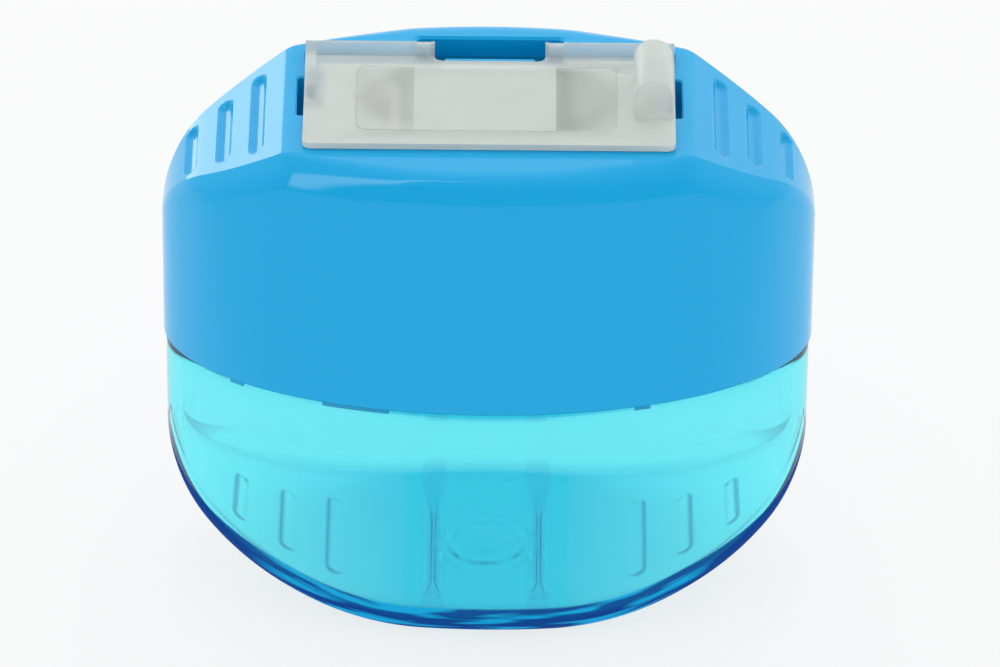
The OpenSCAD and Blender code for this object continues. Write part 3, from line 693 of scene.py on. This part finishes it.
lower_rim = keel_profile(cup_half_width, keel_drop, KEEL_RADIUS, BILGE_RADIUS)
cup_inner_rim = keel_profile(
    cup_half_width - CUP_WALL, keel_drop - CUP_WALL, KEEL_RADIUS - CUP_WALL, BILGE_RADIUS - CUP_WALL
)


def rail_depth(x, y):
    """How far the two foot rails stand under the flat underside."""
    off = max(abs(abs(x) - FOOT_X) - FOOT_HALF, FOOT_TAPER * (abs(y) - FOOT_LENGTH / 2))
    share = min(1.0, max(0.0, -off / FOOT_SLOPE))
    return FOOT_HEIGHT * share * share * (3 - 2 * share)


def foot_sink(grooves):
    """Grooves, plus the foot rails."""
    def sink(x, y, z):
        x, z = grooves(x, y, z)
        return x, z + rail_depth(x, y)
    return sink


def round_share(line, x, y):
    """How far round the bottom edge a row is."""
    return {"edge": line[1], "top": 1.0}.get(line[0], 0.0)


def flank_share(line, x, y):
    """The outer flank and the front end of each groove, which are seen edge-on from the front."""
    if line[0] != "top":
        return 0.0
    here, lean = groove_at(lower_rim, LOWER_GROOVES, CUP_GROOVE_RADIUS, x, y)
    x, y = abs(x) + FLANK_SHIFT[0], y - FLANK_SHIFT[1]
    beside, lean = groove_at(lower_rim, LOWER_GROOVES, CUP_GROOVE_RADIUS, x, y)
    return max(0.0, min(1.0, FLANK_GAIN * here) - min(1.0, FLANK_GAIN * beside))


def floor_rise(grooves):
    """The backs of the grooves, the low dome over the gate, and the two shallow rings round it."""
    def sink(x, y, z):
        away = hypot(x, y)
        z -= GATE_RISE * max(0.0, 1 - (away / GATE_DOME) ** 2)
        for radius, half, rise in GATE_RINGS:
            z -= rise * max(0.0, 1 - ((away - radius) / half) ** 2)
        return grooves(x, y, z + rail_depth(x, y))
    return sink


rail_sides = [FOOT_X - FOOT_HALF, FOOT_X + FOOT_HALF]
lower_marks = [side * x for side in (-1, 1) for x in LOWER_GROOVES + rail_sides]
lower_angles = stations(cup_half_width, lower_marks, spread=1.2, step=0.15)
lip_inset = LAP_WALL + LIP_CLEARANCE - CUP_STEP
cup_rings = [
    (lip_inset + LIP_BREAK, -LIP_HEIGHT), (lip_inset, -LIP_HEIGHT + LIP_BREAK),
    (lip_inset, 0.0), (CUP_BREAK, 0.0),
]
soft_grooves = {
    "centres": LOWER_GROOVES, "radius": CUP_GROOVE_RADIUS, "depth": CUP_GROOVE_DEPTH,
    "crisp": 1.0, "power": 2,
}
cup_bm = bmesh.new()
for name in ("rounding", "flank"):
    cup_bm.verts.layers.float.new(name)
layers = cup_bm.verts.layers.float
loft(
    cup_bm, lower_angles, half_lines(rings=4, wall=14, edge=9, top=76),
    body_half(
        cup_half_width, cup_half_depth, lower_rim, CUP_BASE, cup_rings, KEEL_EDGE,
        sink=foot_sink(groove_sink(lower_rim, **soft_grooves)), flip=True,
    ),
    marks=[(layers["rounding"], round_share), (layers["flank"], flank_share)],
)
loft(
    cup_bm, lower_angles, half_lines(rings=1, wall=14, edge=8, top=76),
    body_half(
        cup_half_width - CUP_WALL, cup_half_depth - CUP_WALL, cup_inner_rim, 0.0,
        [(0.0, -LIP_HEIGHT)], INNER_KEEL_EDGE,
        sink=floor_rise(groove_sink(cup_inner_rim, **soft_grooves)), flip=True,
    ),
    inside=True,
)
join_rims(cup_bm)
finish_piece(
    cup_bm, "shavings_cup", clear_cyan, "container", "shavings_container",
    sharp=SHELL_SHARP,
)


# ---------------------------------------------------------------- flap lid
# The milky flap over the two holes: one polypropylene moulding, left in its natural colour. A closing
# pad under it plugs the holes, two hooks drop into the side slots, and a ridge lifts it by the thumb.

PLATE_BOTTOM = 55.35
PLATE_TOP = 56.0
PAD_FRONT = -6.8
PAD_REAR = 4.8
PAD_LEFT = -13.2
PAD_RIGHT = 12.7
PANEL_LEFT = -7.5
PANEL_RIGHT = 6.6
CORNER_RADIUS = 0.8
RIDGE_ROUND = 0.4
RIM_ROUND = 0.34
LINE_WIDTH = 0.13
LINE_DEPTH = 0.07
LINE_CORNER = 1.2
LINE_BREAK = 0.04
PANEL_RISE = 0.06
PLATE_FRONT = -9.0
NOTCH_HALF = 5.5
PLATE_REAR = 6.6
RIDGE_LEFT = 10.0
RIDGE_REAR = 4.0
STANDARD_HOLE = (-9.0, -1.0, 4.1)
JUMBO_HOLE = (7.0, -1.0, 5.6)
BEAD_SPAN = (5.4, 9.0)
HOOK_SPAN_X = (-18.2, -16.4)
HOOK_SPAN_Y = (-3.0, 4.0)
HOLE_CLEARNESS = 0.12
BEAD_CLEARNESS = 0.25
HOOK_CLEARNESS = 0.2
HOLE_BLUR = 0.7
SPAN_BLUR = 0.4
CLOUD_SIZE = 2.6
FROST_SIZE = 0.22
MILK_WHITE = "#f3f9f4"
MILK_CLEAR = "#f4f8f6"
MILK_SHADOW = "#eff3f1"

# Natural polypropylene: milky and frosted, so what lies under it shows as a blurred shape.
milky, output = new_material("polypropylene_moulded_natural")
place = add(milky, "TexCoord")
cloud = add(
    milky, "TexNoise",
    Vector=(place, "Object"), Scale=1 / (CLOUD_SIZE * MM), Detail=3.0, Roughness=0.55,
)
grain = add(milky, "TexNoise", Vector=(place, "Object"), Scale=1 / (FROST_SIZE * MM), Detail=2.0)
frost = add(milky, "Bump", Height=(grain, "Fac"), Strength=0.15, Distance=0.02 * MM)
murk = add(
    milky, "MapRange", Value=(cloud, "Fac"), From_Min=0.3, From_Max=0.7, To_Min=0.52, To_Max=0.6
)
# The plate is thinner beside the middle panel, along the rear bead and at the hooks, so the two holes
# and the blue top show through there.
apart = add(milky, "SeparateXYZ", Vector=(place, "Object"))
flat = add(milky, "CombineXYZ", X=(apart, "X"), Y=(apart, "Y"))


def within(axis, low, high, soft):
    """A mask that is one between two levels of an axis."""
    off = add(milky, "Math", {"operation": "SUBTRACT"}, i0=(apart, axis), i1=(low + high) / 2 * MM)
    off = add(milky, "Math", {"operation": "ABSOLUTE"}, i0=(off, "Value"))
    half = (high - low) / 2
    mask = add(
        milky, "MapRange",
        Value=(off, "Value"), From_Min=(half + soft) * MM, From_Max=(half - soft) * MM,
    )
    return mask, "Result"


def disc(x, y, radius, soft):
    """A mask that is one over a hole."""
    middle = (x * MM, y * MM, 0.0)
    away = add(milky, "VectorMath", {"operation": "DISTANCE"}, i0=(flat, "Vector"), i1=middle)
    mask = add(
        milky, "MapRange",
        Value=(away, "Value"), From_Min=(radius + soft) * MM, From_Max=(radius - soft) * MM,
    )
    return mask, "Result"


holes = add(
    milky, "Math", {"operation": "MAXIMUM"},
    i0=disc(*STANDARD_HOLE, HOLE_BLUR), i1=disc(*JUMBO_HOLE, HOLE_BLUR),
)
holes = add(
    milky, "Math", {"operation": "SUBTRACT", "use_clamp": True},
    i0=(holes, "Value"), i1=within("X", PANEL_LEFT, PANEL_RIGHT, 0.05),
)
hook = add(
    milky, "Math", {"operation": "MULTIPLY"},
    i0=within("X", *HOOK_SPAN_X, SPAN_BLUR), i1=within("Y", *HOOK_SPAN_Y, 1.5 * SPAN_BLUR),
)
bead = within("Y", *BEAD_SPAN, SPAN_BLUR)
share = (murk, "Result")
for mask, clearness in (
    ((holes, "Value"), HOLE_CLEARNESS), (bead, BEAD_CLEARNESS), ((hook, "Value"), HOOK_CLEARNESS),
):
    less = add(milky, "Math", {"operation": "MULTIPLY_ADD"}, i0=mask, i1=-clearness, i2=share)
    share = (less, "Value")
body = add(
    milky, "BsdfPrincipled",
    Base_Color=linear(MILK_WHITE), Roughness=0.42, IOR=1.49, Normal=(frost, "Normal"),
)
clear = add(
    milky, "BsdfPrincipled", Base_Color=linear(MILK_CLEAR), Roughness=0.3, IOR=1.49,
    Transmission_Weight=1.0, Normal=(frost, "Normal"),
)
mass = add(milky, "MixShader", Fac=share)
link(milky, clear, "BSDF", mass, 1)
link(milky, body, "BSDF", mass, 2)
# Most of the light reaches what lies under the lid.
through = add(milky, "BsdfTransparent", Color=linear(MILK_SHADOW))
rays = add(milky, "LightPath")
lets = add(milky, "Math", {"operation": "MULTIPLY"}, i0=(rays, "Is Shadow Ray"), i1=0.75)
plate = add(milky, "MixShader", Fac=(lets, "Value"))
link(milky, mass, "Shader", plate, 1)
link(milky, through, "BSDF", plate, 2)
link(milky, plate, "Shader", output, "Surface")


def cad_copy(node):
    """A bmesh of a CAD node with its triangles merged into flat faces."""
    bm = bmesh.new()
    bm.from_mesh(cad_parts[node].data)
    bmesh.ops.remove_doubles(bm, verts=bm.verts, dist=0.001 * MM)
    bmesh.ops.dissolve_limit(bm, angle_limit=radians(0.6), verts=bm.verts, edges=bm.edges)
    return bm


def round_edges(bm, radius, segments, chosen, limit=32):
    """Rounds the creases that the test picks."""
    creases = [e for e in bm.edges if len(e.link_faces) == 2 and e.calc_face_angle() > radians(limit)]
    bevel(bm, [e for e in creases if chosen(e)], radius, segments, clamp=True)


def plate_corner(edge):
    """The upright corners of the plate, in front and in the notch."""
    a, b = (v.co / MM for v in edge.verts)
    upright = hypot(a.x - b.x, a.y - b.y) < WELD and abs(a.z - b.z) > 0.5
    on_plate = max(a.z, b.z) < PLATE_TOP + WELD and min(a.z, b.z) > PLATE_BOTTOM - WELD
    return upright and on_plate and (a.y < PLATE_FRONT or abs(abs(a.x) - NOTCH_HALF) < WELD)


def plate_rim(edge):
    """The upper outline of the plate, in front of the hinge."""
    return all(
        abs(v.co.z - PLATE_TOP * MM) < WELD * MM and v.co.y < PLATE_REAR * MM for v in edge.verts
    )


def raised(edge):
    """The outline of the thumb ridge."""
    ends = [v.co / MM for v in edge.verts]
    return all(e.z > PLATE_TOP + 0.05 and e.x > RIDGE_LEFT and e.y < RIDGE_REAR for e in ends)


lid_bm = cad_copy("flap_lid")
round_edges(lid_bm, CORNER_RADIUS, 4, plate_corner)
round_edges(lid_bm, RIDGE_ROUND, 3, raised, limit=50)
round_edges(lid_bm, RIM_ROUND, 3, plate_rim)
lid = finish_piece(lid_bm, "flap_lid_moulding", milky, "lid", "flap_lid")


def relief(left, right, inset, corner, low, high):
    """A low slab over the closing pad, with round upright corners and a broken top edge."""
    bm = bmesh.new()
    add_box(bm, (left + inset, PAD_FRONT + inset, low), (right - inset, PAD_REAR - inset, high))
    if corner:
        bevel(bm, upright_edges(bm), corner, 5)
    top_edges = [e for e in bm.edges if all(v.co.z > (high - WELD) * MM for v in e.verts)]
    bevel(bm, top_edges, LINE_BREAK, 1)
    return bm


# Fine lines in the plate's face: a groove round the closing pad, and the raised middle panel.
line = relief(PAD_LEFT, PAD_RIGHT, 0.0, LINE_CORNER, PLATE_TOP - LINE_DEPTH, PLATE_TOP + 0.5)
island = relief(PAD_LEFT, PAD_RIGHT, LINE_WIDTH, LINE_CORNER - 0.1, PLATE_TOP - 0.4, PLATE_TOP)
panel = relief(PANEL_LEFT, PANEL_RIGHT, 0.0, 0.0, PLATE_TOP - 0.3, PLATE_TOP + PANEL_RISE)
boolean(lid, line, "DIFFERENCE")
boolean(lid, island, "UNION")
boolean(lid, panel, "UNION")
smooth(lid, 30)


# ---------------------------------------------------------------- block holder
# The white frame in the flat top: one injection moulding in polypropylene. It drops into the shell's
# stepped opening from above and grips the upper end of the metal block.

HOLDER_ROUND = 0.12
GRAIN_SIZE = 0.35
HOLDER_WHITE = "#e6e8e2"

# White polypropylene: a soft sheen over a fine, even grain.
white_plastic, output = new_material("polypropylene_moulded_white")
place = add(white_plastic, "TexCoord")
grain = add(white_plastic, "TexNoise", Vector=(place, "Object"), Scale=1 / (GRAIN_SIZE * MM), Detail=3.0)
fine = add(white_plastic, "Bump", Height=(grain, "Fac"), Strength=0.2, Distance=0.03 * MM)
paint = add(
    white_plastic, "BsdfPrincipled",
    Base_Color=linear(HOLDER_WHITE), Roughness=0.38, IOR=1.49, Normal=(fine, "Normal"),
)
link(white_plastic, paint, "BSDF", output, "Surface")

holder_bm = cad_copy("block_holder")
round_edges(holder_bm, HOLDER_ROUND, 2, lambda edge: True)
finish_piece(holder_bm, "block_holder_frame", white_plastic, "head", "block_holder")


# ---------------------------------------------------------------- twin-hole block
# The wedge block with a hole for standard and one for jumbo pencils: magnesium alloy, die cast, then
# milled where the blades lie and reamed. It hangs in the holder frame, inside the shell.

BLOCK_BREAK = 0.1
PASS_HEIGHT = 0.12
PASS_LENGTH = 1.5
MAGNESIUM_GREY = "#a6a9ad"

# Milled magnesium: a dull grey metal with level cutter marks, drawn a little coarser than real ones.
magnesium, output = new_material("magnesium_die_cast_milled")
place = add(magnesium, "TexCoord")
pass_scale = [1 / (size * MM) for size in (PASS_LENGTH, PASS_LENGTH, PASS_HEIGHT)]
passes = add(magnesium, "Mapping", Vector=(place, "Object"), Scale=pass_scale)
marks = add(magnesium, "TexNoise", Vector=(passes, "Vector"), Scale=1.0, Detail=3.0, Roughness=0.6)
cut = add(magnesium, "Bump", Height=(marks, "Fac"), Strength=0.3, Distance=0.02 * MM)
dull = add(
    magnesium, "MapRange",
    Value=(marks, "Fac"), From_Min=0.3, From_Max=0.7, To_Min=0.42, To_Max=0.58,
)
metal = add(
    magnesium, "BsdfPrincipled", Base_Color=linear(MAGNESIUM_GREY), Metallic=1.0,
    Roughness=(dull, "Result"), Normal=(cut, "Normal"),
)
link(magnesium, metal, "BSDF", output, "Surface")

block_bm = cad_copy("twin_hole_block")
round_edges(block_bm, BLOCK_BREAK, 1, lambda edge: True)
finish_piece(
    block_bm, "twin_hole_block_casting", magnesium, "head", "twin_hole_block"
)


# ---------------------------------------------------------------- blades
# Two hardened carbon-steel blades, ground flat and sharpened on one long edge. Each lies on a milled
# face of the block and is held there by one screw.

BLADE_BREAK = 0.04
STROKE_WIDTH = 0.1
STROKE_LENGTH = 2.0
STEEL_GREY = "#a9adb1"

# Ground steel: bright, with long grinding strokes. Real strokes are finer than the 0.1 mm that shows.
steel, output = new_material("carbon_steel_hardened_ground")
place = add(steel, "TexCoord")
stroke_scale = [1 / (size * MM) for size in (STROKE_WIDTH, STROKE_LENGTH, STROKE_LENGTH)]
strokes = add(steel, "Mapping", Vector=(place, "Object"), Scale=stroke_scale)
lines = add(steel, "TexNoise", Vector=(strokes, "Vector"), Scale=1.0, Detail=2.0)
ground = add(steel, "Bump", Height=(lines, "Fac"), Strength=0.2, Distance=0.01 * MM)
metal = add(
    steel, "BsdfPrincipled",
    Base_Color=linear(STEEL_GREY), Metallic=1.0, Roughness=0.28, Normal=(ground, "Normal"),
)
link(steel, metal, "BSDF", output, "Surface")

for node in ("standard_blade", "jumbo_blade"):
    blade_bm = cad_copy(node)
    round_edges(blade_bm, BLADE_BREAK, 1, lambda edge: True)
    finish_piece(blade_bm, node + "_ground", steel, "head", node)


# ---------------------------------------------------------------- blade screws
# Two slotted cheese-head screws in nickel-plated steel, turned and then tumbled. Each clamps a blade
# to the block.

SCREW_ROUND = 0.08
WEAR_SIZE = 0.4
NICKEL_SILVER = "#d2cfc6"

# Nickel plate: a warm, bright gloss, a little cloudy where it was tumbled.
nickel, output = new_material("steel_nickel_plated")
place = add(nickel, "TexCoord")
wear = add(nickel, "TexNoise", Vector=(place, "Object"), Scale=1 / (WEAR_SIZE * MM), Detail=3.0)
shine = add(
    nickel, "MapRange", Value=(wear, "Fac"), From_Min=0.35, From_Max=0.7, To_Min=0.16, To_Max=0.3
)
metal = add(
    nickel, "BsdfPrincipled",
    Base_Color=linear(NICKEL_SILVER), Metallic=1.0, Roughness=(shine, "Result"),
)
link(nickel, metal, "BSDF", output, "Surface")

for node in ("standard_blade_screw", "jumbo_blade_screw"):
    screw_bm = cad_copy(node)
    round_edges(screw_bm, SCREW_ROUND, 2, lambda edge: True)
    finish_piece(screw_bm, node + "_plated", nickel, "head", node)


# ---------------------------------------------------------------- floor, light and camera
# A plain pale table top in a light tent, with one soft lamp behind on the left and a long lens that
# looks down at about 34 degrees.

FLOOR_HALF = 3000
FLOOR_DROP = 0.02
SHARE_SEEN = 0.75
SHARE_LIT = 0.62
SHARE_THROUGH = -0.32
SHARE_MIRRORED = 0.2
GLOW_THROUGH = 1.32
GLOW_NEAR = -0.5
SKY_NEAR_FAR = (0.67, 1.14)
MIRRORED_NEAR_FAR = (0.25, 0.95)
WINDOW_AZIMUTH = radians(-132)
WINDOW_STRENGTH = 2.2
SOFTBOX_SIZE = (130, 250)
SOFTBOX_POWER = 0.22
SOFTBOX_PLACE = Vector((-362, 543, 130)) * MM
LIT_POINT = Vector((0, 0, 30)) * MM
TABLE_WHITE = "#f4f4f4"
LIGHT_WHITE = "#ffffff"

floor_mesh = bmesh.new()
bmesh.ops.create_grid(floor_mesh, x_segments=1, y_segments=1, size=FLOOR_HALF * MM)
floor_data = bpy.data.meshes.new("floor")
floor_mesh.to_mesh(floor_data)
floor_mesh.free()
floor = bpy.data.objects.new("floor", floor_data)
scene.collection.objects.link(floor)
floor_data.transform(Matrix.Translation((0, 0, -FLOOR_DROP * MM)))

# The table glows a little, so that it stays pale: most in view, least in what the clear container
# bends, and dimmer on the viewer's side in the gloss.
pale, output = new_material("table_top_matt_white")
matt = add(pale, "BsdfDiffuse", Color=linear(TABLE_WHITE))
path = add(pale, "LightPath")
place = add(pale, "TexCoord")
spot = add(pale, "SeparateXYZ", Vector=(place, "Object"))
near = add(
    pale, "MapRange", Value=(spot, "Y"), From_Min=-5 * MM, From_Max=-40 * MM, To_Max=GLOW_NEAR
)
glow = add(pale, "MapRange", Value=(path, "Is Transmission Ray"), To_Min=1.0, To_Max=GLOW_THROUGH)
glow = add(
    pale, "Math", {"operation": "MULTIPLY_ADD"},
    i0=(path, "Is Glossy Ray"), i1=(near, "Result"), i2=(glow, "Result"),
)
white = add(pale, "Emission", Color=linear(LIGHT_WHITE), Strength=(glow, "Value"))
lit = add(pale, "MapRange", Value=(path, "Is Camera Ray"), To_Min=SHARE_LIT, To_Max=SHARE_SEEN)
share = (lit, "Result")
for ray, change in (("Is Transmission Ray", SHARE_THROUGH), ("Is Glossy Ray", SHARE_MIRRORED)):
    moved = add(pale, "Math", {"operation": "MULTIPLY_ADD"}, i0=(path, ray), i1=change, i2=share)
    share = (moved, "Value")
blend = add(pale, "MixShader", Fac=share)
link(pale, matt, "BSDF", blend, 1)
link(pale, white, "Emission", blend, 2)
link(pale, blend, "Shader", output, "Surface")
floor_data.materials.append(pale)

# The room is white behind the object and dimmer on the viewer's side, as in front of a light tent.
world = bpy.data.worlds.new("studio")
scene.world = world
world.use_nodes = True
world.node_tree.nodes.clear()
direction = add(world, "TexCoord")
parts = add(world, "SeparateXYZ", Vector=(direction, "Generated"))
ambient = add(
    world, "MapRange", Value=(parts, "Y"), From_Min=-0.75, From_Max=0.55,
    To_Min=SKY_NEAR_FAR[0], To_Max=SKY_NEAR_FAR[1],
)
mirrored = add(
    world, "MapRange", Value=(parts, "Y"), From_Min=-0.6, From_Max=0.8,
    To_Min=MIRRORED_NEAR_FAR[0], To_Max=MIRRORED_NEAR_FAR[1],
)
# A tall, narrow window on the left of the viewer shows only in the gloss.
turned = add(world, "Math", {"operation": "ARCTAN2"}, i0=(parts, "Y"), i1=(parts, "X"))
turned = add(world, "Math", {"operation": "SUBTRACT"}, i0=(turned, "Value"), i1=WINDOW_AZIMUTH)
turned = add(world, "Math", {"operation": "ABSOLUTE"}, i0=(turned, "Value"))
strip = add(world, "MapRange", Value=(turned, "Value"), From_Min=radians(11), From_Max=radians(6))
above = add(
    world, "MapRange", Value=(parts, "Z"), From_Min=0.15, From_Max=0.4, To_Max=WINDOW_STRENGTH
)
glint = add(
    world, "Math", {"operation": "MULTIPLY_ADD"},
    i0=(strip, "Result"), i1=(above, "Result"), i2=(mirrored, "Result"),
)
rays = add(world, "LightPath")
surround = add(world, "Background", Color=linear(LIGHT_WHITE), Strength=(ambient, "Result"))
reflected = add(world, "Background", Color=linear(LIGHT_WHITE), Strength=(glint, "Value"))
seen = add(world, "Background", Color=linear(LIGHT_WHITE), Strength=1.0)
lighting = add(world, "MixShader", Fac=(rays, "Is Glossy Ray"))
link(world, surround, "Background", lighting, 1)
link(world, reflected, "Background", lighting, 2)
direct = add(
    world, "Math", {"operation": "MAXIMUM"}, i0=(rays, "Is Camera Ray"), i1=(rays, "Is Transmission Ray")
)
pick = add(world, "MixShader", Fac=(direct, "Value"))
link(world, lighting, "Shader", pick, 1)
link(world, seen, "Background", pick, 2)
link(world, pick, "Shader", add(world, "OutputWorld"), "Surface")

lamp = bpy.data.lights.new("left_softbox", "AREA")
lamp.shape = "RECTANGLE"
lamp.size, lamp.size_y = (side * MM for side in SOFTBOX_SIZE)
lamp.energy = SOFTBOX_POWER
softbox = bpy.data.objects.new("left_softbox", lamp)
scene.collection.objects.link(softbox)
softbox.location = SOFTBOX_PLACE
softbox.rotation_euler = (LIT_POINT - SOFTBOX_PLACE).to_track_quat("-Z", "Y").to_euler()
softbox.visible_transmission = False

CAMERA_TILT = 34.3
CAMERA_ROLL = -0.516
CAMERA_DISTANCE = 930.6
CAMERA_LENS = 333.4
AIM_Z = 26.0
AIM_RIGHT = 1.25
AIM_UP = 1.1

tilt = radians(CAMERA_TILT)
roll = radians(CAMERA_ROLL)
forward = Vector((0, cos(tilt), -sin(tilt)))
level = Vector((1, 0, 0))
upright = Vector((0, sin(tilt), cos(tilt)))
right = cos(roll) * level - sin(roll) * upright
up = sin(roll) * level + cos(roll) * upright
eye = (Vector((0, 0, AIM_Z)) - forward * CAMERA_DISTANCE + right * AIM_RIGHT + up * AIM_UP) * MM
camera_data = bpy.data.cameras.new("camera")
camera_data.lens = CAMERA_LENS
camera_data.sensor_width = 36.0
camera_data.clip_start = 10 * MM
camera_data.clip_end = 20000 * MM
camera = bpy.data.objects.new("camera", camera_data)
scene.collection.objects.link(camera)
turn = Matrix((right, up, -forward)).transposed().to_4x4()
camera.matrix_world = Matrix.Translation(eye) @ turn
scene.camera = camera

scene.view_settings.view_transform = "Standard"
